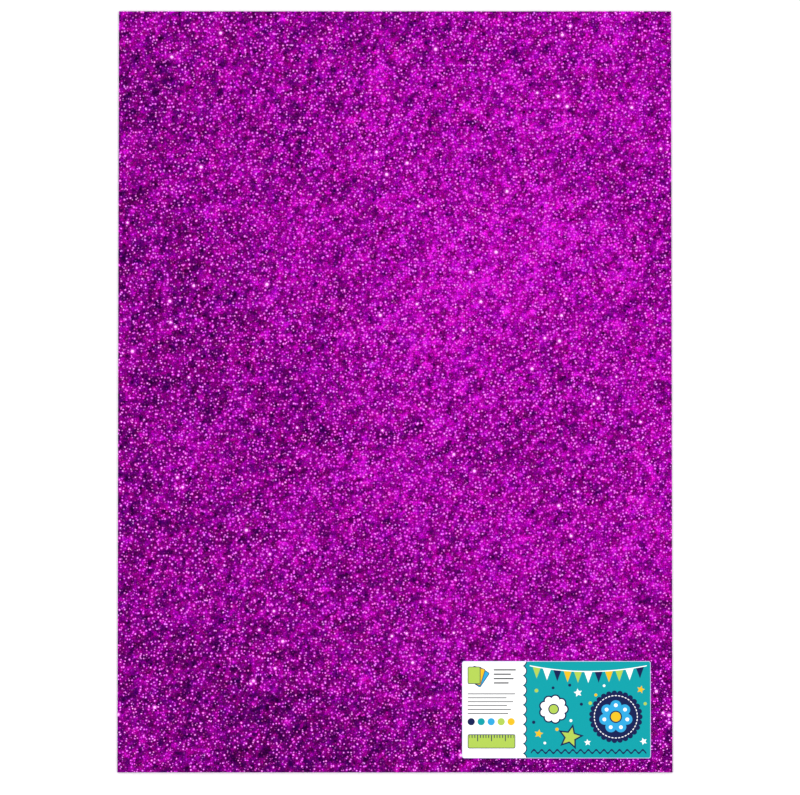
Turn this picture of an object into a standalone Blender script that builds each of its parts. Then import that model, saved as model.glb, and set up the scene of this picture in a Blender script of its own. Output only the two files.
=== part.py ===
"""A craft foam sheet with a glitter face, and the paper label stuck near one of its corners.

Units are metres. The sheet lies flat with its glitter face up (+Z) and its length along Y.
The origin is the middle of its underside.
"""

import bmesh
import bpy
from mathutils import Matrix, Vector

MM = 0.001

# The sheet, cut from a roll of closed-cell foam
SHEET_WIDTH = 500 * MM
SHEET_LENGTH = 700 * MM
SHEET_THICKNESS = 1.8 * MM
CUT_EDGE_ROUNDING = 0.2 * MM  # the knife presses the glitter face down along the cut
CUT_EDGE_SEGMENTS = 3

# The grains of glitter stand this high above the face, and the label lies across their tips
GRAIN_RELIEF = 0.3 * MM

# The label, a paper sticker
LABEL_WIDTH = 170 * MM
LABEL_LENGTH = 89 * MM
LABEL_THICKNESS = 0.15 * MM
LABEL_CORNER_RADIUS = 2 * MM
LABEL_CORNER_SEGMENTS = 8
LABEL_TO_SIDE_EDGE = 19.5 * MM
LABEL_TO_END_EDGE = 12.6 * MM

# Linear colour, roughness and metallic value of each finish
GLITTER_FINISH = ((0.34, 0.008, 0.33), 0.35, 0.5)
LABEL_FINISH = ((0.05, 0.40, 0.44), 0.45, 0.0)


def clear_scene():
    """Removes every object that the file was opened with."""
    for old in list(bpy.data.objects):
        bpy.data.objects.remove(old, do_unlink=True)


def principled(name, finish):
    """Returns a material with one Principled BSDF of the given finish."""
    colour, roughness, metallic = finish
    material = bpy.data.materials.new(name)
    material.use_nodes = True
    shader = material.node_tree.nodes["Principled BSDF"]
    shader.inputs["Base Color"].default_value = (*colour, 1.0)
    shader.inputs["Roughness"].default_value = roughness
    shader.inputs["Metallic"].default_value = metallic
    material.diffuse_color = (*colour, 1.0)
    return material


def add_piece(name, bm, location, finish):
    """Turns a bmesh into a named object at a place, with its own material."""
    bmesh.ops.recalc_face_normals(bm, faces=bm.faces)
    mesh = bpy.data.meshes.new(name)
    bm.to_mesh(mesh)
    bm.free()
    mesh.materials.append(principled(name, finish))
    piece = bpy.data.objects.new(name, mesh)
    piece.location = location
    bpy.context.scene.collection.objects.link(piece)
    return piece


def rectangle(width, length):
    """Returns a bmesh of one upward face, centred on its own origin."""
    bm = bmesh.new()
    bmesh.ops.create_grid(
        bm, x_segments=1, y_segments=1, size=0.5, matrix=Matrix.Diagonal((width, length, 1.0, 1.0))
    )
    return bm


def thicken(bm, thickness):
    """Extrudes the bmesh's one face upwards into a closed slab that stands on z = 0."""
    raised = bmesh.ops.extrude_face_region(bm, geom=list(bm.faces), use_keep_orig=True)["geom"]
    top = [element for element in raised if isinstance(element, bmesh.types.BMVert)]
    bmesh.ops.translate(bm, verts=top, vec=Vector((0.0, 0.0, thickness)))


def make_foam_sheet():
    """The sheet: square corners, a sharp lower edge and a softly pressed upper one."""
    bm = rectangle(SHEET_WIDTH, SHEET_LENGTH)
    thicken(bm, SHEET_THICKNESS)
    middle = SHEET_THICKNESS / 2
    upper_edges = [edge for edge in bm.edges if all(vert.co.z > middle for vert in edge.verts)]
    bmesh.ops.bevel(
        bm,
        geom=upper_edges,
        affect="EDGES",
        offset=CUT_EDGE_ROUNDING,
        segments=CUT_EDGE_SEGMENTS,
        profile=0.5,
        material=-1,
    )
    return add_piece("foam_sheet", bm, Vector((0.0, 0.0, 0.0)), GLITTER_FINISH)


def make_label():
    """The label: a thin slip with rounded corners, lying on the grains near the sheet's corner."""
    bm = rectangle(LABEL_WIDTH, LABEL_LENGTH)
    bmesh.ops.bevel(
        bm,
        geom=list(bm.verts),
        affect="VERTICES",
        offset=LABEL_CORNER_RADIUS,
        segments=LABEL_CORNER_SEGMENTS,
        profile=0.5,
        material=-1,
    )
    thicken(bm, LABEL_THICKNESS)
    place = Vector(
        (
            SHEET_WIDTH / 2 - LABEL_TO_SIDE_EDGE - LABEL_WIDTH / 2,
            -SHEET_LENGTH / 2 + LABEL_TO_END_EDGE + LABEL_LENGTH / 2,
            SHEET_THICKNESS + GRAIN_RELIEF,
        )
    )
    return add_piece("label", bm, place, LABEL_FINISH)


clear_scene()
make_foam_sheet()
make_label()
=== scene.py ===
"""Dresses a craft foam sheet: its foam, the glitter that covers one face, and the printed label on it.

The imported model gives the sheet's and the label's true size and place. Lengths here are in metres in
that same frame: the sheet lies on z = 0 with its glitter up, and its labelled end towards -Y.
"""

import functools
import logging
import math
from collections.abc import Callable
from dataclasses import dataclass, field
from enum import Enum

import bmesh
import bpy
import numpy as np
from mathutils import Matrix, Vector, noise


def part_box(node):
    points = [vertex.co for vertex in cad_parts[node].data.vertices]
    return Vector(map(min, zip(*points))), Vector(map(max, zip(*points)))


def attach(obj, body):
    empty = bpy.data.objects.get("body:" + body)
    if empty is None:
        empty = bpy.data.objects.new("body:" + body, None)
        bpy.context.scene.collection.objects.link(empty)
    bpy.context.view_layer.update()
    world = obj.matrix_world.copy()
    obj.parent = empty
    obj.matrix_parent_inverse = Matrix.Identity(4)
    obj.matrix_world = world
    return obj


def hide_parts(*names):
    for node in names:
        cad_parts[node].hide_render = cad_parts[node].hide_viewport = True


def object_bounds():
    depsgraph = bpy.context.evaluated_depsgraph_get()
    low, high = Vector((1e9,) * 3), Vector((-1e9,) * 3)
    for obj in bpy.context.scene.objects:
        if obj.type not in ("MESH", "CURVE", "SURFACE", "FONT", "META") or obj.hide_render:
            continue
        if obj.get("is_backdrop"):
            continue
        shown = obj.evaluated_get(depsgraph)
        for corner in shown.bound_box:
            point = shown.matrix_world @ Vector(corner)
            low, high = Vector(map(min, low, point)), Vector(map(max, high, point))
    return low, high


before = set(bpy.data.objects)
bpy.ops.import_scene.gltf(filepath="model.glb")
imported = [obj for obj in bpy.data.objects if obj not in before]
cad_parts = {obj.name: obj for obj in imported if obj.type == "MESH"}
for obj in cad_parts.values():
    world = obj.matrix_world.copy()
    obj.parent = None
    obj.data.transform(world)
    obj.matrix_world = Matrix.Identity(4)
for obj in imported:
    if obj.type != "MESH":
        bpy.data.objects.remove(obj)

log = logging.getLogger("craft_foam")

MM = 0.001
UP = Vector((0.0, 0.0, 1.0))
BAKE_MAP = "OFBake"  # the UV map on which a piece's finish is baked

# The photograph's frame and the sheet's place in it, in pixels from the left and the top
PHOTO_WIDTH, PHOTO_HEIGHT = 800, 795
SHEET_LEFT, SHEET_RIGHT = 118.1, 671.8
SHEET_TOP, SHEET_BOTTOM = 11.2, 772.5

# The bed of glitter in its binder, which makes up the top of the sheet's thickness
GLITTER_THICKNESS = 0.25 * MM


class Value:
    """A number worked out by a shader, on which Python's arithmetic adds the Math nodes."""

    def __init__(self, graph: "Graph", socket: bpy.types.NodeSocket) -> None:
        """Wraps one output socket of a graph."""
        self.graph = graph
        self.socket = socket

    def __add__(self, other: "Number") -> "Value":
        """Adds."""
        return self.graph.math("ADD", self, other)

    __radd__ = __add__

    def __sub__(self, other: "Number") -> "Value":
        """Subtracts another number from this one."""
        return self.graph.math("SUBTRACT", self, other)

    def __rsub__(self, other: "Number") -> "Value":
        """Subtracts this one from another number."""
        return self.graph.math("SUBTRACT", other, self)

    def __mul__(self, other: "Number") -> "Value":
        """Multiplies."""
        return self.graph.math("MULTIPLY", self, other)

    __rmul__ = __mul__

    def __truediv__(self, other: "Number") -> "Value":
        """Divides this one by another number."""
        return self.graph.math("DIVIDE", self, other)

    def __rtruediv__(self, other: "Number") -> "Value":
        """Divides another number by this one."""
        return self.graph.math("DIVIDE", other, self)

    def __neg__(self) -> "Value":
        """Changes the sign."""
        return self.graph.math("MULTIPLY", self, -1.0)

    def __abs__(self) -> "Value":
        """Drops the sign."""
        return self.graph.math("ABSOLUTE", self)


Number = Value | float
Colour = tuple[float, float, float]


class Graph:
    """The node tree of a material or of the room's light, to which nodes are added as they are asked for."""

    def __init__(self, owner: bpy.types.Material | bpy.types.World) -> None:
        """Takes over the owner's node tree.

        Args:
            owner: the new material or world, whose tree starts empty.
        """
        owner.use_nodes = True
        self.owner = owner
        self.tree = owner.node_tree
        self.tree.nodes.clear()

    def node(self, kind: str, settings: dict | None = None, sockets: dict | None = None) -> bpy.types.Node:
        """Adds one node.

        Args:
            kind: the node's type, without the leading ShaderNode.
            settings: its properties by name, with a ramp's stops under "stops" as (place, colour) pairs.
            sockets: its inputs by name or number, each a plain value or a Value or socket to link.

        Returns:
            The new node.
        """
        node = self.tree.nodes.new("ShaderNode" + kind)
        for name, setting in (settings or {}).items():
            if name == "stops":
                self._set_stops(node.color_ramp, setting)
            else:
                setattr(node, name, setting)
        for name, value in (sockets or {}).items():
            if isinstance(value, Value):
                value = value.socket
            if isinstance(value, bpy.types.NodeSocket):
                self.tree.links.new(value, node.inputs[name])
            else:
                node.inputs[name].default_value = value
        return node

    @staticmethod
    def _set_stops(ramp: bpy.types.ColorRamp, stops: list[tuple[float, Colour]]) -> None:
        """Gives a colour ramp its stops, of which it starts with two.

        Args:
            ramp: the new ramp.
            stops: the place, from 0 to 1, and the colour of each stop, in order.
        """
        for place, _ in stops[2:]:
            ramp.elements.new(place)
        for element, (place, colour) in zip(ramp.elements, stops):
            element.position = place
            element.color = (*colour, 1.0)

    def math(self, operation: str, *terms: Number, clamp: bool = False) -> Value:
        """Adds a Math node on up to three terms and returns its result."""
        settings = {"operation": operation, "use_clamp": clamp}
        return Value(self, self.node("Math", settings, dict(enumerate(terms))).outputs[0])

    def least(self, one: Number, other: Number) -> Value:
        """The smaller of two numbers."""
        return self.math("MINIMUM", one, other)

    def most(self, one: Number, other: Number) -> Value:
        """The larger of two numbers."""
        return self.math("MAXIMUM", one, other)

    def length(self, across: Number, along: Number) -> Value:
        """The length of a step across and along."""
        return self.math("SQRT", self.math("MULTIPLY_ADD", across, across, along * along))

    def split(self, vector: bpy.types.NodeSocket) -> tuple[Value, Value, Value]:
        """The three parts of a vector or colour."""
        outputs = self.node("SeparateXYZ", sockets={0: vector}).outputs
        return Value(self, outputs[0]), Value(self, outputs[1]), Value(self, outputs[2])

    def join(self, x: Number, y: Number, z: Number) -> bpy.types.NodeSocket:
        """A vector of three numbers."""
        return self.node("CombineXYZ", sockets={0: x, 1: y, 2: z}).outputs[0]

    def mix(self, factor: Number, first: object, second: object, blend: str = "MIX") -> bpy.types.NodeSocket:
        """Blends two colours.

        Args:
            factor: how much of the second shows.
            first: a colour or a colour socket.
            second: a colour or a colour socket.
            blend: the Mix node's blend type.

        Returns:
            The blended colour's socket.
        """
        sockets = {0: factor, 6: self._rgba(first), 7: self._rgba(second)}
        return self.node("Mix", {"data_type": "RGBA", "blend_type": blend}, sockets).outputs[2]

    @staticmethod
    def _rgba(colour: object) -> object:
        """A plain colour with its alpha, or a socket as it is."""
        return (*colour, 1.0) if isinstance(colour, tuple) else colour

    def place(self, scale: float, origin: Vector = Vector((0.0, 0.0, 0.0))) -> bpy.types.NodeSocket:
        """Object coordinates, counted from an origin in steps of a scale.

        Args:
            scale: how long a step is, in metres.
            origin: where the count starts.

        Returns:
            The coordinates' socket.
        """
        here = self.node("TexCoord").outputs["Object"]
        moved = self.node("VectorMath", {"operation": "SUBTRACT"}, {0: here, 1: tuple(origin)}).outputs[0]
        sockets = {0: moved, "Scale": 1.0 / scale}
        return self.node("VectorMath", {"operation": "SCALE"}, sockets).outputs[0]

    def attribute(self, name: str) -> Value:
        """A number stored on the piece's mesh."""
        return Value(self, self.node("Attribute", {"attribute_name": name}).outputs["Fac"])

    def mottle(self, size: float, detail: float = 2.0) -> Value:
        """Soft noise from 0 to 1 whose patches are about a size in metres across."""
        sockets = {"Vector": self.place(size), "Scale": 1.0, "Detail": detail, "Roughness": 0.5}
        return Value(self, self.node("TexNoise", sockets=sockets).outputs[0])

    def bump(self, height: Value, depth: float, strength: float = 1.0) -> bpy.types.NodeSocket:
        """The normal of a surface raised by height times a depth in metres."""
        sockets = {"Strength": strength, "Distance": depth, "Height": height}
        return self.node("Bump", sockets=sockets).outputs[0]

    def finish(self, sockets: dict) -> bpy.types.Material:
        """Ends a material's tree in one Principled BSDF.

        Args:
            sockets: the shader's inputs by name, as a node takes them.

        Returns:
            The material.
        """
        shader = self.node("BsdfPrincipled", sockets=sockets)
        self.node("OutputMaterial", sockets={"Surface": shader.outputs[0]})
        return self.owner


def new_piece(name: str, mesh: bpy.types.Mesh, slot: str, *materials: bpy.types.Material) -> bpy.types.Object:
    """Adds a finished mesh to the scene as a piece that rides on the model's one body.

    Args:
        name: the piece's name.
        mesh: its mesh, in the model's frame.
        slot: the record's material slot for its finish; not used.
        materials: its finishes, in the order of the mesh's material slots.

    Returns:
        The piece.
    """
    mesh.name = name
    for material in materials:
        mesh.materials.append(material)
    piece = bpy.data.objects.new(name, mesh)
    bpy.context.scene.collection.objects.link(piece)
    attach(piece, "root")
    log.info("%s: %d faces", name, len(mesh.polygons))
    return piece


def to_mesh(name: str, bm: bmesh.types.BMesh) -> bpy.types.Mesh:
    """Turns a bmesh into a mesh and frees it.

    Args:
        name: the mesh's name.
        bm: the finished bmesh.

    Returns:
        The mesh.
    """
    mesh = bpy.data.meshes.new(name)
    bm.to_mesh(mesh)
    bm.free()
    return mesh


def top_grid(low: Vector, high: Vector, step: float) -> bmesh.types.BMesh:
    """Starts a bmesh as a flat grid that covers the top of a box.

    Args:
        low: the box's lowest corner.
        high: its highest corner.
        step: about how wide each of the grid's faces is.

    Returns:
        The bmesh.
    """
    size, middle = high - low, (low + high) / 2
    place = Matrix.Translation((middle.x, middle.y, high.z)) @ Matrix.Diagonal((size.x, size.y, 1.0, 1.0))
    columns, rows = round(size.x / step), round(size.y / step)
    bm = bmesh.new()
    bmesh.ops.create_grid(bm, x_segments=columns, y_segments=rows, size=0.5, matrix=place)
    return bm


def round_off(
    bm: bmesh.types.BMesh, geometry: list, radius: float, steps: int, affect: str = "EDGES"
) -> None:
    """Rounds edges, or the corners of a flat shape.

    Args:
        bm: the bmesh that they are in.
        geometry: the edges or the corners.
        radius: how far the rounding reaches.
        steps: how many faces or edges make up the arc.
        affect: EDGES, or VERTICES for the corners of a flat shape.
    """
    bmesh.ops.bevel(
        bm, geom=geometry, affect=affect, offset=radius, segments=steps, profile=0.5, material=-1
    )


def put_in_order(
    elements: bmesh.types.BMVertSeq | bmesh.types.BMFaceSeq, place: Callable[..., Vector]
) -> None:
    """Sorts a bmesh's corners or faces by place, because solidify leaves them in another order each run.

    Args:
        elements: the corners or the faces.
        place: works out the place of one of them.
    """
    ordered = sorted(elements, key=lambda element: tuple(place(element)))
    rank = {element: number for number, element in enumerate(ordered)}
    elements.sort(key=rank.__getitem__)


@dataclass(frozen=True)
class Clouds:
    """Soft patches that wander over the glitter at several scales, and a broad hill where the glitter is
    brighter.
    """

    scales: tuple[tuple[float, float], ...]  # how wide the patches of each scale are, and their share
    hill: float = 0.0
    hill_middle: tuple[float, float] = (110 * MM, 50 * MM)
    hill_reach: tuple[float, float] = (280 * MM, 370 * MM)
    layer: float = 0.0  # the slice of the noise that the first scale is cut from
    layer_pitch: float = 3.7  # and how much further up each next one is

    def at(self, x: float, y: float, finest: float = 0.0) -> float:
        """Works out the amount that the patches add at a place, about zero.

        Args:
            x: the place across the sheet.
            y: the place along the sheet.
            finest: patches of a smaller scale than this are left out.

        Returns:
            The amount.
        """
        patches = 0.0
        across, along = x, y
        for order, (size, share) in enumerate(self.scales):
            across, along = -along, across  # a quarter turn, so that the scales' grains don't line up
            if size > finest:
                layer = self.layer + self.layer_pitch * order
                patches += share * noise.noise(Vector((across / size, along / size, layer)))
        across = (x - self.hill_middle[0]) / self.hill_reach[0]
        along = (y - self.hill_middle[1]) / self.hill_reach[1]
        return patches + self.hill * (math.exp(-(across**2) - along**2) - 0.5)


BRIGHT_PATCHES = Clouds(
    ((90 * MM, 0.10), (25 * MM, 0.08), (12 * MM, 0.09), (6.0 * MM, 0.22), (4.2 * MM, 0.28), (3.2 * MM, 0.25)),
    hill=0.20,
    layer=7.3,
)
HUE_PATCHES = Clouds(((30 * MM, 0.08), (6 * MM, 0.36)), layer=41.9)


@dataclass(frozen=True)
class GlitterTint:
    """The dyed film of the glitter, from its deepest violet to its palest pink."""

    stops: tuple[tuple[float, Colour], ...] = (
        (0.00, (0.008, 0.000, 0.015)),
        (0.25, (0.042, 0.000, 0.065)),
        (0.40, (0.110, 0.000, 0.122)),
        (0.55, (0.217, 0.000, 0.212)),
        (0.70, (0.370, 0.001, 0.363)),
        (0.85, (0.605, 0.004, 0.594)),
        (1.00, (1.000, 0.026, 0.995)),
    )
    violet: Colour = (0.58, 1.00, 1.26)
    red: Colour = (1.36, 1.00, 0.68)
    fading: float = 0.76  # how much of its violet or red the palest film has lost
    aslant: Colour = (1.0, 0.35, 1.0)  # what the film still reflects when it is looked at along its face

    def colour(self, graph: Graph, lightness: Value, hue: Value) -> bpy.types.NodeSocket:
        """Works out the film's colour, whose hues part most in its darks.

        Args:
            graph: the finish's graph.
            lightness: the film's lightness, from 0 to 1.
            hue: its hue, from violet at 0 to red at 1.

        Returns:
            The colour's socket.
        """
        film = graph.node("ValToRGB", {"stops": list(self.stops)}, {0: lightness}).outputs[0]
        dye = graph.mix(hue, self.violet, self.red)
        faded = graph.mix(lightness * self.fading, dye, (1.0, 1.0, 1.0))
        return graph.mix(1.0, film, faded, "MULTIPLY")


@dataclass(frozen=True)
class FlakeFinish:
    """One flake of dyed mirror film under clear binder, tinted by where it lies on its map.

    Across the map run columns of one hue each, and the film's lightness grows across each column.
    Up the map a flake goes from its dull rim to the glint painted on its crown. A painted glint adds green
    alone, which pales the magenta film to pink.
    """

    tint: GlitterTint = field(default_factory=GlitterTint)
    columns: int = 6
    margin: float = 0.05  # the share of a column that is left free at each side
    painted_glints: tuple[tuple[float, Colour], ...] = (
        (0.06, (0.000, 0.000, 0.000)),
        (0.25, (0.000, 0.021, 0.000)),
        (0.50, (0.000, 0.113, 0.000)),
        (0.75, (0.000, 0.335, 0.000)),
        (1.00, (0.000, 0.580, 0.000)),
    )
    roughness: float = 0.32
    wet_above: float = 0.75  # paler glints than this get a clear coat
    binder_roughness: float = 0.10

    def spots(self, lightness: np.ndarray, hue: np.ndarray, glint: np.ndarray) -> np.ndarray:
        """Works out where on the map the corners of flakes lie.

        Args:
            lightness: the film's lightness at each corner, from 0 to 1.
            hue: its hue there, from violet at 0 to red at 1.
            glint: how pale the film's painted glint is there, from 0 to 1.

        Returns:
            The places on the map, with their two coordinates along the last axis.
        """
        column = (hue * self.columns).astype(int).clip(0, self.columns - 1)
        across = column + self.margin + (1.0 - 2.0 * self.margin) * lightness.clip(0.0, 1.0)
        return np.stack((across / self.columns, glint.clip(0.0, 1.0)), axis=-1)

    def material(self) -> bpy.types.Material:
        """Builds the finish.

        Returns:
            The material.
        """
        graph = Graph(bpy.data.materials.new("glitter_flake"))
        across, up, _ = graph.split(graph.node("UVMap", {"uv_map": BAKE_MAP}).outputs[0])
        across = across * self.columns
        hue = (graph.math("FLOOR", across) + 0.5) / self.columns
        lightness = (graph.math("FRACT", across) - self.margin) / (1.0 - 2.0 * self.margin)
        film = self.tint.colour(graph, lightness, hue)
        # painted glint: the green added to the film's colour up the map, towards each flake's crown
        glint = graph.node("ValToRGB", {"stops": list(self.painted_glints)}, {0: up}).outputs[0]
        return graph.finish(
            {
                "Base Color": graph.mix(1.0, film, glint, "ADD"),
                "Metallic": 1.0,
                "Specular Tint": (*self.tint.aslant, 1.0),
                "Roughness": self.roughness,
                "Coat Weight": graph.most(up - self.wet_above, 0.0),
                "Coat Roughness": self.binder_roughness,
            }
        )


@dataclass(frozen=True)
class CoatFinish:
    """The bed of glitter between and under the raised flakes."""

    tint: GlitterTint = field(default_factory=GlitterTint)
    grain: float = 2.2 * MM
    gap: float = 0.06  # half the gap between two grains, as a share of a grain
    painted_gap_shade: float = 0.8
    tilt: float = 0.12
    roughness: float = 0.32
    lightness: float = 0.54
    spread: float = 0.22
    hue_spread: float = 0.6
    binder: float = 0.01
    binder_roughness: float = 0.10

    def material(self) -> bpy.types.Material:
        """Builds the finish.

        Returns:
            The material.
        """
        graph = Graph(bpy.data.materials.new("glitter_bed"))
        here = graph.place(self.grain)
        cell = graph.node("TexVoronoi", {"voronoi_dimensions": "2D"}, {"Vector": here, "Scale": 1.0})
        edge = graph.node(
            "TexVoronoi",
            {"voronoi_dimensions": "2D", "feature": "DISTANCE_TO_EDGE"},
            {"Vector": here, "Scale": 1.0},
        )
        light, across, along = graph.split(cell.outputs["Color"])
        chance = Value(graph, graph.node("TexWhiteNoise", sockets={0: cell.outputs["Position"]}).outputs[0])
        lightness = graph.attribute("brightness") + (light - 0.5) * self.spread + self.lightness
        hue = graph.attribute("hue") + (chance - 0.5) * self.hue_spread + 0.5
        # painted shade: the gaps between the bed's grains are darkened towards the darkest film
        gap = graph.math("LESS_THAN", Value(graph, edge.outputs[0]), self.gap)
        tint = self.tint.colour(graph, lightness, hue)
        _, darkest = self.tint.stops[0]
        lean = graph.join((across - 0.5) * self.tilt + 0.5, (along - 0.5) * self.tilt + 0.5, 1.0)
        normal = graph.node("NormalMap", {"space": "OBJECT"}, {"Color": lean})
        return graph.finish(
            {
                "Base Color": graph.mix(gap * self.painted_gap_shade, tint, darkest),
                "Metallic": 1.0,
                "Specular Tint": (*self.tint.aslant, 1.0),
                "Roughness": self.roughness,
                "Coat Weight": self.binder,
                "Coat Roughness": self.binder_roughness,
                "Normal": normal.outputs[0],
            }
        )


@dataclass(frozen=True)
class FoamFinish:
    """Closed-cell foam: a fine matte skin underneath and sliced cells along the cut edges."""

    deep: Colour = (0.145, 0.010, 0.175)
    pale: Colour = (0.255, 0.026, 0.285)
    cloud: float = 40 * MM
    fleck: float = 4.0 * MM
    pebble: float = 0.9 * MM
    cell: float = 0.18 * MM
    tones: tuple[float, float, float, float] = (0.7, 1.5, 0.5, 0.2)  # how much each of these four pales it; the pits' share paints shade into the cells' hollows
    darkening: float = 0.95
    relief: float = 0.06 * MM
    heights: tuple[float, float, float] = (2.0, 1.0, 0.4)  # of flecks, pebbles and cells, in reliefs
    gloss: float = 0.25
    roughness: float = 0.72
    roughness_spread: float = 0.2

    def material(self) -> bpy.types.Material:
        """Builds the finish.

        Returns:
            The material.
        """
        graph = Graph(bpy.data.materials.new("foam"))
        cloud = graph.mottle(self.cloud)
        fleck = graph.mottle(self.fleck, detail=3.0)
        pebble = graph.mottle(self.pebble, detail=4.0)
        cells = graph.node("TexVoronoi", sockets={"Vector": graph.place(self.cell), "Scale": 1.0})
        pits = Value(graph, cells.outputs["Distance"])
        by_cloud, by_fleck, by_pebble, pit_shading = self.tones
        light = cloud * by_cloud + fleck * by_fleck + pebble * by_pebble + pits * pit_shading - self.darkening
        fleck_height, pebble_height, pit_height = self.heights
        height = fleck * fleck_height + pebble * pebble_height + pits * pit_height
        return graph.finish(
            {
                "Base Color": graph.mix(light, self.deep, self.pale),
                "Specular IOR Level": self.gloss,
                "Roughness": (pebble - 0.5) * self.roughness_spread + self.roughness,
                "Normal": graph.bump(height, self.relief),
            }
        )


def lay_map(mesh: bpy.types.Mesh, facing: Vector) -> None:
    """Lays the mesh flat on the bake's map.

    The broad side that shows fills most of the map, and the other side and the walls share a strip of it.

    Args:
        mesh: a flat piece's mesh.
        facing: the way that the side that shows faces.
    """
    least_turned = 0.5  # the cosine below which a face doesn't count as facing that way
    low = Vector(min(vertex.co[axis] for vertex in mesh.vertices) for axis in range(3))
    high = Vector(max(vertex.co[axis] for vertex in mesh.vertices) for axis in range(3))
    strip = 0.06
    margin = 0.1 * strip
    hidden_width, hidden_height = 0.95, 0.6 * strip
    wall_width, wall_height = 0.02, 0.2 * strip
    layer = mesh.uv_layers.new(name=BAKE_MAP)
    for face in mesh.polygons:
        shown = face.normal.dot(facing) > least_turned
        for index in face.loop_indices:
            spot = mesh.vertices[mesh.loops[index].vertex_index].co
            x, y, z = ((spot[axis] - low[axis]) / (high[axis] - low[axis]) for axis in range(3))
            if shown:
                layer.data[index].uv = (x, strip + (1.0 - strip) * y)
            else:
                across = hidden_width * x + wall_width * z
                layer.data[index].uv = (across, margin + hidden_height * y + wall_height * z)


@dataclass
class FoamSheet:
    """The sheet of foam under the glitter."""

    corner_low: Vector
    corner_high: Vector
    coat: float
    rounding: float = 0.15 * MM
    rounding_steps: int = 3

    def build(self) -> bpy.types.Object:
        """Makes the foam up to the glitter bed and stands it in for the plain sheet.

        Returns:
            The piece.
        """
        size = self.corner_high - self.corner_low
        size.z -= self.coat
        middle = self.corner_low + size / 2
        bm = bmesh.new()
        place = Matrix.Translation(middle) @ Matrix.Diagonal((*size, 1.0))
        bmesh.ops.create_cube(bm, size=1.0, matrix=place)
        under = [edge for edge in bm.edges if all(vertex.co.z < middle.z for vertex in edge.verts)]
        round_off(bm, under, self.rounding, self.rounding_steps)
        mesh = to_mesh("foam_core", bm)
        lay_map(mesh, -UP)
        piece = new_piece("foam_core", mesh, "glitter_foam", FoamFinish().material())
        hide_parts("foam_sheet")
        return piece


@dataclass
class GlitterCoat:
    """The bed of glitter bonded to the foam's upper face."""

    corner_low: Vector
    corner_high: Vector
    thickness: float
    rounding: float = 0.2 * MM
    rounding_steps: int = 3
    step: float = 2.5 * MM
    finest: float = 3.75 * MM  # smaller patches than this are lost between corners one step apart

    def build(self) -> bpy.types.Object:
        """Makes the bed as one closed slab whose corners carry its patches of brightness and hue.

        Returns:
            The piece.
        """
        bm = top_grid(self.corner_low, self.corner_high, self.step)
        rim = [edge for edge in bm.edges if edge.is_boundary]
        walls = bmesh.ops.extrude_edge_only(bm, edges=rim)["geom"]
        lower = [element for element in walls if isinstance(element, bmesh.types.BMVert)]
        bmesh.ops.translate(bm, verts=lower, vec=-UP * self.thickness)
        bmesh.ops.holes_fill(bm, edges=[edge for edge in bm.edges if edge.is_boundary], sides=0)
        bmesh.ops.recalc_face_normals(bm, faces=bm.faces)
        round_off(bm, rim, self.rounding, self.rounding_steps)
        mesh = to_mesh("glitter_coat", bm)
        lay_map(mesh, UP)
        self._store(mesh, "brightness", BRIGHT_PATCHES)
        self._store(mesh, "hue", HUE_PATCHES)
        return new_piece("glitter_coat", mesh, "glitter_foam", CoatFinish().material())

    def _store(self, mesh: bpy.types.Mesh, name: str, clouds: Clouds) -> None:
        """Stores at each corner of the mesh the patches that its faces are small enough to show.

        Args:
            mesh: the bed's mesh.
            name: the name that the finish reads them by.
            clouds: the patches.
        """
        layer = mesh.attributes.new(name, "FLOAT", "POINT")
        for vertex, entry in zip(mesh.vertices, layer.data):
            entry.value = clouds.at(vertex.co.x, vertex.co.y, self.finest)


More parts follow.
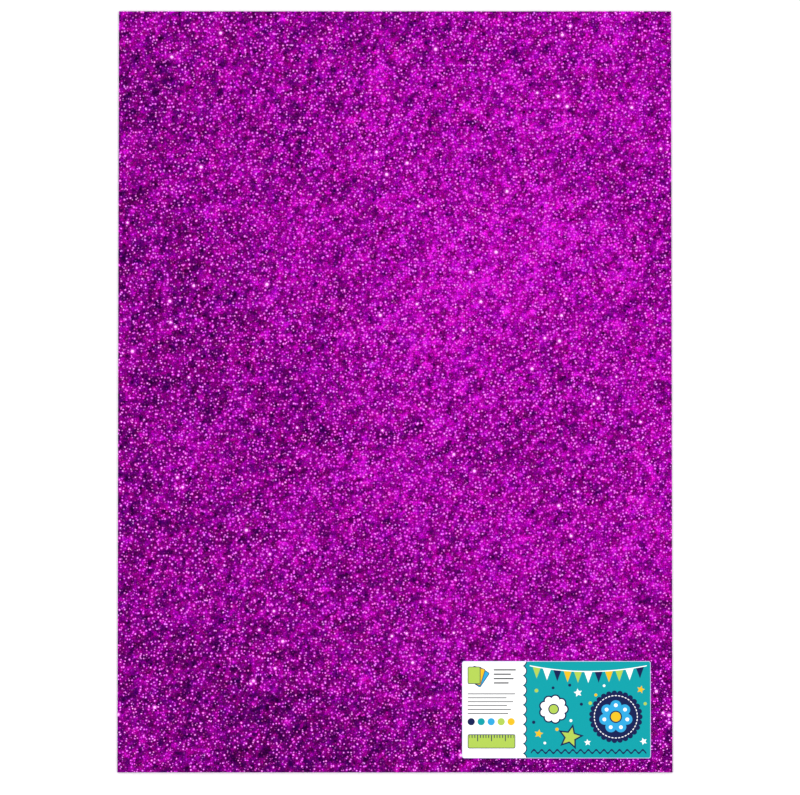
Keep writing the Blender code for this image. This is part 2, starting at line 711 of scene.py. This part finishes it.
@dataclass
class Flakes:
    """The raised flakes: domed six-sided grains, each leaning its own way out of the bed."""

    corner_low: Vector
    corner_high: Vector
    label_low: Vector
    label_high: Vector
    pitch: float = 2.6 * MM
    jitter: float = 1.4  # how far a flake strays from its place in the rows, in pitches
    radius: tuple[float, float] = (0.62 * MM, 1.25 * MM)
    growth: float = 0.45 * MM  # how much wider a flake of full glint is
    lean: float = 0.10  # the spread of the slopes
    most_rise: float = 0.15 * MM  # the furthest that a slope lifts a flake's middle
    dome: float = 0.06  # for a radius of 1, the crown's height and the root's depth
    depth: float = 0.22
    weld: float = 0.001
    finish: FlakeFinish = field(default_factory=FlakeFinish)
    lightness: float = 0.345
    spread: float = 0.03
    lightness_range: tuple[float, float] = (0.08, 0.92)
    painted_side_light: float = 0.05  # painted light and shade: how much lighter one side of a flake is than its middle, the other side as much darker
    glint: tuple[float, float] = (2.2, 0.186)  # the painted glint's strength: the shape and the scale of a gamma spread
    most_glint: float = 0.8
    stir: float = 0.8  # how much stronger the painted glints are in the bright patches
    muting: float = 0.6  # and how much less pale
    painted_rim_share: float = 0.92  # how much the painted glint lights the flake's rim, and its crown above that
    painted_crown_share: float = 0.95
    paleness: tuple[float, float] = (-0.06, 1.17)  # that of no painted glint, and what a full one adds
    palest: tuple[float, float] = (-0.36, 0.96)  # the same for the palest that a crown's lightness allows
    # the paleness that the painted glint leaves at each flake's rim
    rim_paleness: float = 0.04
    root_fade: float = 0.1  # how much less pale it is for each radius below the rim
    hue_spread: float = 0.16
    # sparks: the largest flakes, lying flat, each painted pale all over as a full glint
    sparks: int = 75
    spark_radius: tuple[float, float] = (2.3 * MM, 3.6 * MM)
    spark_lift: float = 0.12 * MM
    spark_painted_glint: tuple[float, float, float, float] = (0.92, 0.5, 1.0, 1.0)
    bands: int = 4
    seed: int = 11

    def build(self) -> list[bpy.types.Object]:
        """Scatters the flakes and makes one piece of each band of the sheet.

        Returns:
            The pieces, from the labelled end on.
        """
        rng = np.random.default_rng(self.seed)
        spots = self._spots(rng)
        radius = rng.uniform(*self.radius, len(spots))
        lean = rng.normal(0.0, self.lean, (len(spots), 2))
        tint = self._tints_and_painted_glints(spots, rng)
        radius += self.growth * tint[:, 2]
        sparks = rng.choice(len(spots), self.sparks, replace=False)
        radius[sparks] = rng.uniform(*self.spark_radius, self.sparks)
        lean[sparks] = 0.0
        tint[sparks] = self.spark_painted_glint
        turn = rng.uniform(0.0, math.tau, len(spots))
        placed = self._placed(spots, radius, lean, turn)
        placed[sparks, :, 2] += self.spark_lift
        material = self.finish.material()
        edges = np.linspace(self.corner_low.y, self.corner_high.y, self.bands + 1)
        band = np.searchsorted(edges[1:-1], spots[:, 1])
        pieces = []
        for number in range(self.bands):
            here = band == number
            mesh = self._joined(placed[here], tint[here])
            pieces.append(new_piece(f"glitter_flakes_{number + 1}", mesh, "glitter_foam", material))
        return pieces

    def _spots(self, rng: np.random.Generator) -> np.ndarray:
        """Strews the flakes all over the face, but not under the label.

        Args:
            rng: where the chances come from.

        Returns:
            The flakes' places, as rows of x and y.
        """
        low, high = self.corner_low, self.corner_high
        columns = round((high.x - low.x) / self.pitch)
        rows = round((high.y - low.y) / self.pitch)
        grid = np.stack(np.meshgrid(np.arange(columns), np.arange(rows)), axis=-1).reshape(-1, 2) + 0.5
        share = (grid + (rng.random(grid.shape) - 0.5) * self.jitter) / (columns, rows)
        spots = np.array(low.xy) + share % 1.0 * np.array((high - low).xy)
        inside = (spots > np.array(self.label_low.xy)) & (spots < np.array(self.label_high.xy))
        return spots[~inside.all(axis=1)]

    def _tints_and_painted_glints(self, spots: np.ndarray, rng: np.random.Generator) -> np.ndarray:
        """Chooses the tint of each flake and the glint painted on it.

        Args:
            spots: the flakes' places, as rows of x and y.
            rng: where the chances come from.

        Returns:
            The flakes' lightness, hue, painted glint and the paleness of that glint, as columns.
        """
        patches = np.array([BRIGHT_PATCHES.at(x, y) for x, y in spots])
        hue = np.array([HUE_PATCHES.at(x, y) for x, y in spots])
        bright = patches + self.lightness + rng.normal(0.0, self.spread, len(spots))
        hue += 0.5 + rng.normal(0.0, self.hue_spread, len(spots))
        chance = rng.gamma(*self.glint, len(spots)).clip(0.0, self.most_glint)
        glint = chance * (1.0 + self.stir * patches)
        pale = self.paleness[0] + self.paleness[1] * chance * (1.0 - self.muting * patches)
        # painted glint: a strong glint lightens the whole flake, and its crown more
        bright += self.painted_rim_share * glint
        palest = self.palest[0] + self.palest[1] * (bright + self.painted_crown_share * glint)
        bright = bright.clip(*self.lightness_range)
        return np.column_stack((bright, hue.clip(0.0, 1.0), glint, np.minimum(pale, palest)))

    def _shape(self) -> bpy.types.Mesh:
        """Makes one flake of radius 1: a low six-sided dome with its root sunk in the binder below it.

        Returns:
            The flake's mesh.
        """
        bm = bmesh.new()
        drop = Matrix.Translation((0.0, 0.0, -self.depth / 2))
        bmesh.ops.create_cone(
            bm, cap_ends=False, segments=6, radius1=0.0, radius2=1.0, depth=self.depth, matrix=drop
        )
        bmesh.ops.remove_doubles(bm, verts=bm.verts, dist=self.weld)
        rim = [edge for edge in bm.edges if edge.is_boundary]
        crown = bmesh.ops.holes_fill(bm, edges=rim, sides=0)["faces"]
        bmesh.ops.recalc_face_normals(bm, faces=bm.faces)
        bmesh.ops.poke(bm, faces=crown, offset=self.dome)
        return to_mesh("flake", bm)

    def _placed(
        self, spots: np.ndarray, radius: np.ndarray, lean: np.ndarray, turn: np.ndarray
    ) -> np.ndarray:
        """Works out the corners of every flake.

        Args:
            spots: the flakes' places, as rows of x and y.
            radius: their radii.
            lean: how far each one's normal leans along x and y.
            turn: how far each is turned about its normal, in radians.

        Returns:
            The corners, by flake, corner and axis.
        """
        shape = np.array([vertex.co for vertex in self._shape().vertices])
        slope = np.linalg.norm(lean, axis=1)
        steepest = self.most_rise / radius
        lean = lean * np.minimum(1.0, steepest / np.maximum(slope, np.finfo(float).eps))[:, None]
        normal = unit(np.column_stack((lean, np.ones(len(spots)))))
        first = np.column_stack((np.cos(turn), np.sin(turn), np.zeros(len(spots))))
        first = unit(first - normal * (first * normal).sum(axis=1)[:, None])
        second = np.cross(normal, first)
        rise = radius * np.linalg.norm(normal[:, :2], axis=1)
        middle = np.column_stack((spots, self.corner_high.z + rise))
        placed = middle[:, None] + radius[:, None, None] * (
            shape[None, :, 0:1] * first[:, None]
            + shape[None, :, 1:2] * second[:, None]
            + shape[None, :, 2:3] * normal[:, None]
        )
        for axis in range(2):  # the knife that cuts the sheet cuts the flakes on its edge too
            placed[..., axis].clip(self.corner_low[axis], self.corner_high[axis], out=placed[..., axis])
        return placed

    def _joined(self, placed: np.ndarray, tint: np.ndarray) -> bpy.types.Mesh:
        """Joins flakes into one mesh, each laid on the bake's map where its tint and painted glint are.

        The flake's own mesh is repeated here by its arrays, because a bmesh would take minutes over so many.

        Args:
            placed: their corners, by flake, corner and axis.
            tint: their lightness, hue, painted glint and its paleness.

        Returns:
            The mesh.
        """
        flake = self._shape()
        count, corners, _ = placed.shape
        loops = np.array([loop.vertex_index for loop in flake.loops])
        sizes = np.tile([face.loop_total for face in flake.polygons], count)
        mesh = bpy.data.meshes.new("flakes")
        mesh.vertices.add(count * corners)
        mesh.vertices.foreach_set("co", placed.astype(np.float32).ravel())
        mesh.loops.add(count * len(loops))
        turned = loops[None] + corners * np.arange(count)[:, None]
        mesh.loops.foreach_set("vertex_index", turned.astype(np.int32).ravel())
        mesh.polygons.add(len(sizes))
        mesh.polygons.foreach_set("loop_start", (np.cumsum(sizes) - sizes).astype(np.int32))
        mesh.update(calc_edges=True)
        shape = np.array([vertex.co for vertex in flake.vertices])[loops]
        crown = (shape[:, 2] > 0.0).astype(float)
        base, hue, glint, pale = (column[:, None] for column in tint.T)
        # painted light: one side of each flake lighter than the other, and a painted glint on its crown
        lightness = base + self.painted_side_light * shape[:, 0] + self.painted_crown_share * glint * crown
        hue = np.broadcast_to(hue, lightness.shape)
        glint = self.rim_paleness + self.root_fade * shape[:, 2].clip(-1.0, 0.0) + pale * crown
        layer = mesh.uv_layers.new(name=BAKE_MAP)
        layer.data.foreach_set("uv", self.finish.spots(lightness, hue, glint).astype(np.float32).ravel())
        return mesh


def unit(vectors: np.ndarray) -> np.ndarray:
    """Rows scaled to length 1."""
    return vectors / np.linalg.norm(vectors, axis=1)[:, None]


class Ink(Enum):
    """The inks of the label's print, as linear colours."""

    WHITE = (0.780, 0.780, 0.780)
    TEAL = (0.000, 0.252, 0.282)
    NAVY = (0.003, 0.008, 0.059)
    LIME = (0.322, 0.455, 0.066)
    SKY = (0.020, 0.285, 0.537)
    YELLOW = (0.629, 0.389, 0.011)
    GREY = (0.074, 0.074, 0.079)
    RIM = (0.463, 0.463, 0.686)


class Press:
    """Prints flat shapes on the label, each over the last, by their distance from the ink's edge."""

    SOFTNESS = 0.12  # how wide the edge of an ink is, in millimetres
    WAIST = 0.46  # how far a star's inner corners are from its middle, for tips at 1

    def __init__(self, graph: Graph, origin: Vector, ground: Ink) -> None:
        """Starts with one ground colour all over.

        Args:
            graph: the print's graph.
            origin: the label's lower left corner, from which millimetres are counted.
            ground: the colour.
        """
        self.graph = graph
        self.x, self.y, _ = graph.split(graph.place(MM, origin))
        self.colour: object = ground.value

    def lay(self, ink: Ink, *distances: Value) -> None:
        """Prints an ink.

        Args:
            ink: its colour.
            distances: from the edge of each of the shapes that it fills, under zero inside.
        """
        distance = functools.reduce(self.graph.least, distances)
        cover = self.graph.math("MULTIPLY_ADD", distance, -1.0 / self.SOFTNESS, 0.5, clamp=True)
        self.colour = self.graph.mix(cover, self.colour, ink.value)

    def turned(self, x: float, y: float, degrees: float) -> tuple[Value, Value]:
        """Turns the coordinates about a point.

        Args:
            x: the point.
            y: the point.
            degrees: how far, anticlockwise.

        Returns:
            The coordinates across and along.
        """
        across, along = self.x - x, self.y - y
        cos, sin = math.cos(math.radians(degrees)), math.sin(math.radians(degrees))
        return across * cos + along * sin, along * cos - across * sin

    def box(
        self, x: float, y: float, width: float, height: float, corner: float, degrees: float = 0.0
    ) -> Value:
        """The distance from a rectangle's edge.

        Args:
            x: its middle.
            y: its middle.
            width: its whole width.
            height: its whole height.
            corner: the radius of its corners.
            degrees: how far it is turned.

        Returns:
            The distance, under zero inside.
        """
        across, along = self.turned(x, y, degrees)
        return self.rounded(across, along, width, height, corner)

    def rounded(self, across: Value, along: Value, width: float, height: float, corner: float) -> Value:
        """The distance from the edge of a rectangle about the coordinates' own zero.

        Args:
            across: the coordinate across it.
            along: the coordinate along it.
            width: its whole width.
            height: its whole height.
            corner: the radius of its corners.

        Returns:
            The distance, under zero inside.
        """
        graph = self.graph
        out_x = abs(across) - (width / 2 - corner)
        out_y = abs(along) - (height / 2 - corner)
        outside = graph.length(graph.most(out_x, 0.0), graph.most(out_y, 0.0))
        return outside + graph.least(graph.most(out_x, out_y), 0.0) - corner

    def disc(self, x: float, y: float, radius: float) -> Value:
        """The distance from a disc's edge."""
        return self.graph.length(self.x - x, self.y - y) - radius

    def repeated(self, place: Value, first: float, pitch: float) -> Value:
        """A coordinate counted from the nearest of a row of points."""
        return self.graph.math("WRAP", place - first, pitch / 2, -pitch / 2)

    def between(self, distance: Value, low: float, high: float) -> Value:
        """Keeps only the stretch of a shape between two places across the label."""
        beyond = self.graph.most(low - self.x, self.x - high)
        return self.graph.most(distance, beyond)

    def sector(self, x: float, y: float, count: int, degrees: float) -> tuple[Value, Value]:
        """Folds the coordinates into one of several equal sectors about a point.

        Args:
            x: the point.
            y: the point.
            count: how many sectors there are.
            degrees: the way that the first one points.

        Returns:
            The coordinates along the sector and to its side.
        """
        across, along = self.turned(x, y, degrees)
        angle = self.graph.math("ARCTAN2", along, across)
        half = math.pi / count
        folded = abs(self.graph.math("WRAP", angle, half, -half))
        reach = self.graph.length(across, along)
        return reach * self.graph.math("COSINE", folded), reach * self.graph.math("SINE", folded)

    def star(self, x: float, y: float, tip: float, points: int = 5, degrees: float = 90.0) -> Value:
        """The distance from a star's edge.

        Args:
            x: its middle.
            y: its middle.
            tip: how far its tips are from there.
            points: how many it has.
            degrees: the way that the first one points.

        Returns:
            The distance, under zero inside.
        """
        along, side = self.sector(x, y, points, degrees)
        waist = tip * self.WAIST
        inner = Vector((waist * math.cos(math.pi / points), waist * math.sin(math.pi / points)))
        edge = inner - Vector((tip, 0.0))
        out = Vector((edge.y, -edge.x)).normalized()
        return (along - tip) * out.x + side * out.y

    def flower(
        self, x: float, y: float, reach: float, petal: float, petals: int, degrees: float = 0.0
    ) -> Value:
        """The distance from a ring of round petals whose middles lie at a reach."""
        along, side = self.sector(x, y, petals, degrees)
        return self.graph.length(along - reach, side) - petal


@dataclass(frozen=True)
class Motif:
    """A small printed shape: its ink, and its middle, size and turn in millimetres and degrees."""

    ink: Ink
    x: float
    y: float
    size: float
    degrees: float = 90.0


@dataclass(frozen=True)
class PrintFinish:
    """Coated paper printed with a craft pattern: a scalloped panel, pennants and cut-out shapes.

    The print is measured in millimetres from the label's lower left corner.
    """

    width: float
    length: float
    origin: Vector
    panel: float = 53.0
    scallop: float = 8.9
    outline: float = 1.3
    rim: float = 0.45
    rim_corner: float = 1.8
    gloss: float = 0.08
    roughness: float = 0.42
    roughness_spread: float = 0.1
    smears: float = 12 * MM
    dents: float = 1.9 * MM
    dent_depth: float = 0.05 * MM
    dent_strength: float = 0.5
    stars: tuple[Motif, ...] = (
        Motif(Ink.YELLOW, 69.0, 22.5, 4.2, 80.0),
        Motif(Ink.WHITE, 104.5, 60.0, 4.0, 100.0),
        Motif(Ink.YELLOW, 161.0, 63.0, 3.8, 75.0),
        Motif(Ink.WHITE, 113.0, 14.5, 3.2, 95.0),
        Motif(Ink.WHITE, 163.5, 15.5, 3.4, 110.0),
    )
    dots: tuple[Motif, ...] = (
        Motif(Ink.LIME, 67.0, 62.0, 1.7),
        Motif(Ink.WHITE, 74.5, 14.0, 1.2),
        Motif(Ink.NAVY, 64.5, 33.0, 1.5),
        Motif(Ink.WHITE, 98.0, 34.5, 1.3),
        Motif(Ink.LIME, 115.5, 50.5, 1.6),
        Motif(Ink.NAVY, 97.0, 67.0, 1.4),
        Motif(Ink.NAVY, 107.5, 49.5, 1.4),
        Motif(Ink.LIME, 165.0, 50.0, 1.5),
        Motif(Ink.WHITE, 128.0, 66.5, 1.2),
        Motif(Ink.YELLOW, 85.5, 26.5, 1.5),
        Motif(Ink.NAVY, 82.0, 64.5, 1.3),
        Motif(Ink.YELLOW, 120.5, 58.0, 1.4),
    )

    def material(self) -> bpy.types.Material:
        """Builds the finish.

        Returns:
            The material.
        """
        graph = Graph(bpy.data.materials.new("label_print"))
        press = Press(graph, self.origin, Ink.TEAL)
        self._panel(press)
        self._swatches(press)
        self._rules(press)
        self._ruler(press)
        self._pennants(press)
        self._braid(press)
        self._rosette(press, 138.5, 38.0)
        self._daisy(press, 82.5, 45.0)
        self._star(press, 97.5, 19.5)
        for motif in self.stars:
            press.lay(motif.ink, press.star(motif.x, motif.y, motif.size, degrees=motif.degrees))
        for motif in self.dots:
            press.lay(motif.ink, press.disc(motif.x, motif.y, motif.size))
        wide, tall = self.width - 2.0 * self.rim, self.length - 2.0 * self.rim
        press.lay(Ink.RIM, -press.box(self.width / 2, self.length / 2, wide, tall, self.rim_corner))
        dents = graph.mottle(self.dents, detail=1.0)
        return graph.finish(
            {
                "Base Color": press.colour,
                "Roughness": graph.mottle(self.smears) * self.roughness_spread + self.roughness,
                "Specular IOR Level": self.gloss,
                "Normal": graph.bump(dents, self.dent_depth, self.dent_strength),
            }
        )

    def _panel(self, press: Press) -> None:
        """Prints the white panel at the left, its edge cut in scallops.

        Args:
            press: the label's press.
        """
        edge, radius = 0.9, self.scallop * 0.52
        wave = press.repeated(press.y, self.length / 2, self.scallop)
        scallop = press.graph.length(press.x - self.panel, wave) - radius
        press.lay(Ink.NAVY, press.x - (self.panel + edge), scallop - edge)
        press.lay(Ink.WHITE, press.x - self.panel, scallop)

    def _swatches(self, press: Press) -> None:
        """Prints three sheets of foam fanned out in the panel's corner, and a row of round samples.

        Args:
            press: the label's press.
        """
        foot_x, foot_y, reach = 10.8, 67.0, 9.0
        wide, tall, outline = 11.6, 16.0, 1.2
        for ink, degrees in ((Ink.SKY, 34.0), (Ink.YELLOW, 17.0), (Ink.LIME, 0.0)):
            turn = math.radians(90.0 - degrees)
            x, y = foot_x + reach * math.cos(turn), foot_y + reach * math.sin(turn)
            press.lay(Ink.NAVY, press.box(x, y, wide, tall, corner=1.4, degrees=-degrees))
            press.lay(ink, press.box(x, y, wide - outline, tall - outline, corner=0.9, degrees=-degrees))
        first, row, pitch, radius = 8.2, 33.5, 9.0, 3.3
        for number, ink in enumerate((Ink.NAVY, Ink.TEAL, Ink.SKY, Ink.LIME, Ink.YELLOW)):
            press.lay(ink, press.disc(first + pitch * number, row, radius))

    def _rules(self, press: Press) -> None:
        """Prints two blocks of plain grey rules of uneven length, in the place of small print.

        Args:
            press: the label's press.
        """
        left, top, pitch, thick, longest = 28.5, 81.0, 4.0, 1.3, 20.0
        for number in range(4):
            length = longest - 3.5 * (number % 2) - number
            press.lay(Ink.GREY, press.box(left + length / 2, top - pitch * number, length, thick, corner=0.4))
        left, top, pitch, thick, longest = 5.0, 59.0, 3.6, 0.9, 43.0
        for number in range(6):
            length = longest - 8.0 * abs(math.sin(1.7 * number))
            press.lay(Ink.GREY, press.box(left + length / 2, top - pitch * number, length, thick, corner=0.3))

    def _ruler(self, press: Press) -> None:
        """Prints a lime ruler with plain ticks along the panel's foot.

        Args:
            press: the label's press.
        """
        x, y, long, tall = 26.5, 15.5, 43.0, 13.0
        untouched, thick = 3.0, 0.75
        press.lay(Ink.NAVY, press.box(x, y, long, tall, corner=1.6))
        press.lay(Ink.LIME, press.box(x, y, long - self.outline, tall - self.outline, corner=1.0))
        inside = press.box(x, y, long - untouched, tall - self.outline, corner=0.5)
        for pitch, reach in ((2.5, 3.4), (12.5, 6.4)):
            across = press.repeated(press.x, x, pitch)
            ticks = press.rounded(across, press.y - (y + tall / 2), thick, 2 * reach, corner=0.2)
            press.lay(Ink.NAVY, press.graph.most(ticks, inside))

    def _pennants(self, press: Press) -> None:
        """Prints a string of pennants that sags between the top corners of the teal.

        Args:
            press: the label's press.
        """
        graph = press.graph
        left, right, low, sag = 62.5, 165.0, 79.5, 5.0
        count, tall, half = 11, 10.5, 3.7
        string, beyond = 0.45, 1.5
        pitch = (right - left) / count
        from_middle = (press.x - (left + right) / 2) / ((right - left) / 2)
        below = from_middle * from_middle * sag + low - press.y
        slant = math.cos(math.atan(half / tall))
        inks = (Ink.LIME, Ink.WHITE, Ink.NAVY, Ink.YELLOW)
        for number, ink in enumerate(inks):
            first = left + pitch * (number + 0.5)
            across = abs(press.repeated(press.x, first, pitch * len(inks)))
            side = (across + below * (half / tall) - half) * slant
            press.lay(ink, press.between(graph.most(side, -below), left, right))
        press.lay(Ink.WHITE, press.between(abs(below) - string, left - beyond, right + beyond))

    def _braid(self, press: Press) -> None:
        """Prints a navy zigzag braid along the foot of the teal.

        Args:
            press: the label's press.
        """
        pitch, height, row, half = 7.0, 1.5, 6.2, 0.85
        left, right = 62.0, self.width - 4.0
        wave = press.graph.math("SINE", press.x * (math.tau / pitch)) * height
        press.lay(Ink.NAVY, press.between(abs(press.y - wave - row) - half, left, right))

    def _rosette(self, press: Press, x: float, y: float) -> None:
        """Prints a navy rosette with a sewn ring and a blue flower.

        Args:
            press: the label's press.
            x: the rosette's middle.
            y: the rosette's middle.
        """
        frill = press.flower(x, y, reach=21.6, petal=2.5, petals=27)
        press.lay(Ink.NAVY, press.disc(x, y, 22.0), frill)
        stitches, ring = 40, 19.4
        along, side = press.sector(x, y, stitches, 0.0)
        press.lay(Ink.WHITE, press.rounded(along - ring, side, width=0.8, height=1.9, corner=0.3))
        petals = press.flower(x, y, reach=10.2, petal=5.0, petals=7, degrees=90.0)
        press.lay(Ink.SKY, press.disc(x, y, 9.0), petals)
        press.lay(Ink.WHITE, press.flower(x, y, reach=10.6, petal=1.7, petals=7, degrees=90.0))
        press.lay(Ink.NAVY, press.disc(x, y, 5.6))
        press.lay(Ink.YELLOW, press.disc(x, y, 4.5))

    def _daisy(self, press: Press, x: float, y: float) -> None:
        """Prints a white daisy, outlined in navy, with a lime middle.

        Args:
            press: the label's press.
            x: the daisy's middle.
            y: the daisy's middle.
        """
        petals, reach, petal = 9, 8.9, 3.4
        press.lay(Ink.NAVY, press.flower(x, y, reach, petal + self.outline, petals), press.disc(x, y, reach))
        press.lay(Ink.WHITE, press.flower(x, y, reach, petal, petals), press.disc(x, y, reach - 1.0))
        press.lay(Ink.NAVY, press.disc(x, y, 4.9))
        press.lay(Ink.LIME, press.disc(x, y, 3.9))

    def _star(self, press: Press, x: float, y: float) -> None:
        """Prints a lime star, outlined in navy, a little off the upright.

        Args:
            press: the label's press.
            x: the star's middle.
            y: the star's middle.
        """
        star = press.star(x, y, tip=9.0, degrees=78.0)
        press.lay(Ink.NAVY, star - self.outline)
        press.lay(Ink.LIME, star)


@dataclass
class Label:
    """The paper label, pressed down over the grains of glitter."""

    corner_low: Vector
    corner_high: Vector
    corner_radius: float = 2 * MM
    corner_steps: int = 8
    step: float = 2.5 * MM
    relief: float = 0.045 * MM
    layer: float = 3.1  # the slice of the noise that the relief is cut from
    sharp_angle: float = math.radians(30.0)

    def build(self) -> bpy.types.Object:
        """Makes the label and stands it in for the plain one.

        Returns:
            The piece.
        """
        width, length, thickness = self.corner_high - self.corner_low
        bm = top_grid(self.corner_low, self.corner_high, self.step)
        corners = [vertex for vertex in bm.verts if len(vertex.link_faces) == 1]
        round_off(bm, corners, self.corner_radius, self.corner_steps, "VERTICES")
        bmesh.ops.recalc_face_normals(bm, faces=bm.faces)
        bmesh.ops.solidify(bm, geom=list(bm.faces), thickness=thickness)
        bmesh.ops.recalc_face_normals(bm, faces=bm.faces)
        self._press_down(bm)
        put_in_order(bm.verts, lambda vertex: vertex.co)
        put_in_order(bm.faces, lambda face: face.calc_center_median())
        mesh = to_mesh("label_paper", bm)
        lay_map(mesh, UP)
        mesh.shade_smooth()
        mesh.set_sharp_from_angle(angle=self.sharp_angle)
        finish = PrintFinish(width / MM, length / MM, self.corner_low)
        piece = new_piece("label_paper", mesh, "printed_paper", finish.material())
        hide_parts("label")
        return piece

    def _press_down(self, bm: bmesh.types.BMesh) -> None:
        """Lets the paper sink a little between the grains under it.

        Args:
            bm: the label's bmesh.
        """
        for vertex in bm.verts:
            spot = Vector((vertex.co.x / self.step, vertex.co.y / self.step, self.layer))
            vertex.co.z -= self.relief * (0.5 + 0.5 * noise.noise(spot)) * (vertex.co.z / self.corner_high.z)


@dataclass
class Studio:
    """The white table, the soft lights and the camera, with angles in degrees."""

    table: float = 14.0
    table_drop: float = 0.3 * MM
    table_colour: Colour = (0.72, 0.72, 0.72)
    sky: tuple[float, float] = (1.12, 1.28)
    lamps: int = 6
    lamp_size: float = 0.75
    lamp_distance: float = 2.2
    lamp_from_top: float = 38.0
    lamp_glow: float = 2.12
    lens: float = 1250.0
    elevation: float = 79.0
    clip: tuple[float, float] = (0.5, 2.0)  # how near and how far it sees, for a sheet at 1

    def build(self) -> None:
        """Sets up the whole studio."""
        self._lay_table()
        self._light_sky()
        self._hang_lamps()
        self._place_camera()
        bpy.context.scene.view_settings.view_transform = "Standard"

    def _lay_table(self) -> None:
        """Lays the white table just under the sheet, clear from below and to the light off the sheet."""
        bm = bmesh.new()
        place = Matrix.Translation((0.0, 0.0, -self.table_drop))
        bmesh.ops.create_grid(bm, x_segments=1, y_segments=1, size=self.table / 2, matrix=place)
        table = bpy.data.objects.new("table", to_mesh("table", bm))
        graph = Graph(bpy.data.materials.new("table"))
        paint = graph.node("BsdfDiffuse", sockets={"Color": (*self.table_colour, 1.0)})
        clear = graph.node("BsdfTransparent")
        under = graph.node("NewGeometry").outputs["Backfacing"]
        both = graph.node("MixShader", sockets={0: under, 1: paint.outputs[0], 2: clear.outputs[0]})
        graph.node("OutputMaterial", sockets={"Surface": both.outputs[0]})
        table.data.materials.append(graph.owner)
        bpy.context.scene.collection.objects.link(table)
        table.visible_diffuse = table.visible_glossy = table.visible_shadow = False
        table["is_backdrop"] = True

    def _light_sky(self) -> None:
        """Gives the room a soft white glow from all sides, a little brighter overhead."""
        graph = Graph(bpy.data.worlds.new("room"))
        low, high = self.sky
        _, _, height = graph.split(graph.node("TexCoord").outputs["Generated"])
        glow = graph.node("MapRange", sockets={"Value": height, "To Min": low, "To Max": high}).outputs[0]
        white = (1.0, 1.0, 1.0, 1.0)
        background = graph.node("Background", sockets={"Color": white, "Strength": glow})
        graph.node("OutputWorld", sockets={"Surface": background.outputs[0]})
        bpy.context.scene.world = graph.owner

    def _hang_lamps(self) -> None:
        """Hangs a ring of square soft lamps that all face the sheet."""
        tilt = math.radians(self.lamp_from_top)
        aside, up = math.sin(tilt), math.cos(tilt)
        for number in range(self.lamps):
            turn = math.tau * (number + 0.5) / self.lamps
            towards = Vector((aside * math.cos(turn), aside * math.sin(turn), up))
            data = bpy.data.lights.new(f"lamp_{number + 1}", "AREA")
            data.size = self.lamp_size
            data.energy = self.lamp_glow * math.pi * self.lamp_size**2
            lamp = bpy.data.objects.new(data.name, data)
            lamp.location = towards * self.lamp_distance
            lamp.rotation_euler = towards.to_track_quat("Z", "Y").to_euler()
            lamp.visible_camera = False
            bpy.context.scene.collection.objects.link(lamp)

    def _place_camera(self) -> None:
        """Looks down on the sheet from far off, so that it fills the frame as in the photograph."""
        low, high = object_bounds()
        metres = (high.x - low.x) / (SHEET_RIGHT - SHEET_LEFT)
        tilt = math.radians(self.elevation)
        right = (PHOTO_WIDTH - SHEET_LEFT - SHEET_RIGHT) / 2 * metres
        down = (PHOTO_HEIGHT - SHEET_TOP - SHEET_BOTTOM) / 2 * metres
        middle = (low + high) / 2
        data = bpy.data.cameras.new("camera")
        data.lens = self.lens
        distance = PHOTO_WIDTH * metres * data.lens / data.sensor_width
        near_looks_larger = ((high.y - low.y) / 2) ** 2 * math.cos(tilt) / distance
        aim = Vector((middle.x + right, middle.y - down / math.sin(tilt) - near_looks_larger, middle.z))
        back = Vector((0.0, -math.cos(tilt), math.sin(tilt)))
        data.clip_start, data.clip_end = (distance * share for share in self.clip)
        camera = bpy.data.objects.new("camera", data)
        camera.location = aim + back * distance
        camera.rotation_euler = (math.pi / 2 - tilt, 0.0, 0.0)
        bpy.context.scene.collection.objects.link(camera)
        bpy.context.scene.camera = camera


def main() -> None:
    """Builds and dresses the sheet, its label and the studio."""
    logging.basicConfig(level=logging.INFO, format="%(message)s")
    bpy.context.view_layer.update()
    Studio().build()
    sheet_low, sheet_high = (Vector(corner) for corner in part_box("foam_sheet"))
    label_low, label_high = (Vector(corner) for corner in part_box("label"))
    core = FoamSheet(sheet_low, sheet_high, GLITTER_THICKNESS).build()
    coat = GlitterCoat(sheet_low, sheet_high, GLITTER_THICKNESS).build()
    flakes = Flakes(sheet_low, sheet_high, label_low, label_high).build()
    Label(label_low, label_high).build()


if __name__ == "__main__":
    main()
